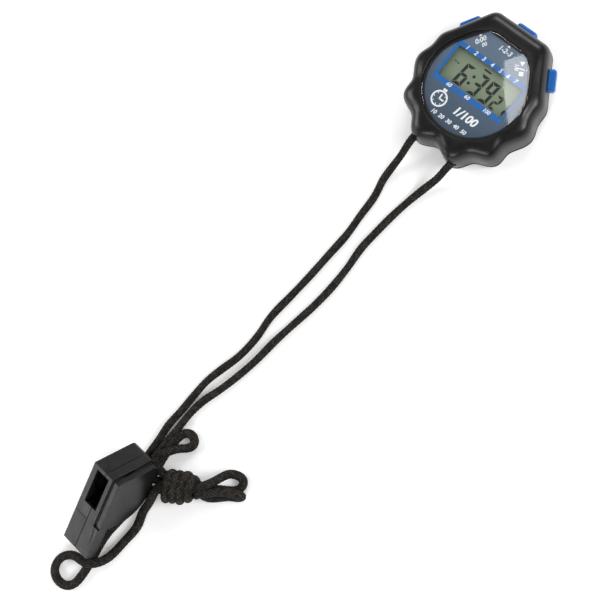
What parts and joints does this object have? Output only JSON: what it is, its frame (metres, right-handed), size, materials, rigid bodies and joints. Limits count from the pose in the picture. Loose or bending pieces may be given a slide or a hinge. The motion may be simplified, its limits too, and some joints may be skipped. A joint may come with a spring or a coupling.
{
  "type": "digital stopwatch",
  "caption": "Black digital sports stopwatch with blue push buttons, a scalloped grip, a braided lanyard and a whistle tied beside the surplus cord.",
  "frame": {"origin": "middle of the flat back of the watch, on the table", "axes": "+Z out of the display, +Y towards the mode button, +X towards the start button side"},
  "size_m": [0.0656, 0.3398, 0.0307],
  "materials": {
    "case_plastic": "satin moulded ABS, black",
    "back_plastic": "satin moulded ABS, black",
    "seal_rubber": "matt black rubber",
    "clear_lens": "clear polished acrylic",
    "printed_face": "blue-grey metallic print with a bright blue window border",
    "lcd_glass": "grey-green reflective LCD",
    "foil": "silver foil",
    "frame_plastic": "ivory moulded plastic",
    "elastomer": "pink silicone with carbon layers",
    "board_laminate": "green solder mask",
    "epoxy": "black potting drop",
    "bright_steel": "plain steel",
    "screw_steel": "zinc plated steel",
    "ceramic": "ceramic chip parts",
    "contact_brass": "plated spring brass",
    "insulator": "amber polyester film",
    "button_blue": "bright blue moulded plastic",
    "whistle_plastic": "black moulded plastic with a fine texture",
    "braided_cord": "black braided polyester cord with a brown cast"
  },
  "bodies": {
    "root": {"front_case": "case_plastic", "back_case": "back_plastic", "case_gasket": "seal_rubber", "lens": "clear_lens", "lens_gasket": "seal_rubber", "face_plate": "printed_face", "lcd_panel": "lcd_glass", "lcd_reflector": "foil", "module_frame": "frame_plastic", "zebra_strips": "elastomer", "circuit_board": "board_laminate", "chip_blob": "epoxy", "quartz_crystal": "bright_steel", "chip_components": "ceramic", "coin_cell": "bright_steel", "battery_plus_clip": "contact_brass", "battery_minus_spring": "contact_brass", "insulator_sheet": "insulator", "buzzer_disc": "contact_brass", "buzzer_spring": "contact_brass", "case_screws": "screw_steel", "board_screws": "screw_steel", "contact_leaves": "contact_brass", "mode_oring": "seal_rubber", "mode_spring": "bright_steel", "start_oring": "seal_rubber", "start_spring": "bright_steel", "reset_oring": "seal_rubber", "reset_spring": "bright_steel", "whistle_left_half": "whistle_plastic", "whistle_right_half": "whistle_plastic", "lanyard_left_run": "braided_cord", "lanyard_right_run": "braided_cord", "lanyard_case_turn": "braided_cord", "lanyard_rear_bight": "braided_cord", "lanyard_mouth_loop": "braided_cord", "lanyard_end_loops": "braided_cord", "lanyard_hank": "braided_cord"},
    "mode_key": {"mode_button": "button_blue", "mode_clip": "bright_steel"},
    "start_key": {"start_button": "button_blue", "start_clip": "bright_steel"},
    "reset_key": {"reset_button": "button_blue", "reset_clip": "bright_steel"}
  },
  "joints": [
    {"name": "mode_press", "type": "slide", "parent": "root", "child": "mode_key", "axis": [0, -1, 0], "range_m": [0, 0.001], "stiffness_N_per_m": 600, "springref_m": -0.0015, "deforming": ["mode_spring"]},
    {"name": "start_press", "type": "slide", "parent": "root", "child": "start_key", "axis": [-0.848, -0.5299, 0], "range_m": [0, 0.001], "stiffness_N_per_m": 600, "springref_m": -0.0015, "deforming": ["start_spring"]},
    {"name": "reset_press", "type": "slide", "parent": "root", "child": "reset_key", "axis": [0.848, -0.5299, 0], "range_m": [0, 0.001], "stiffness_N_per_m": 600, "springref_m": -0.0015, "deforming": ["reset_spring"]}
  ]
}
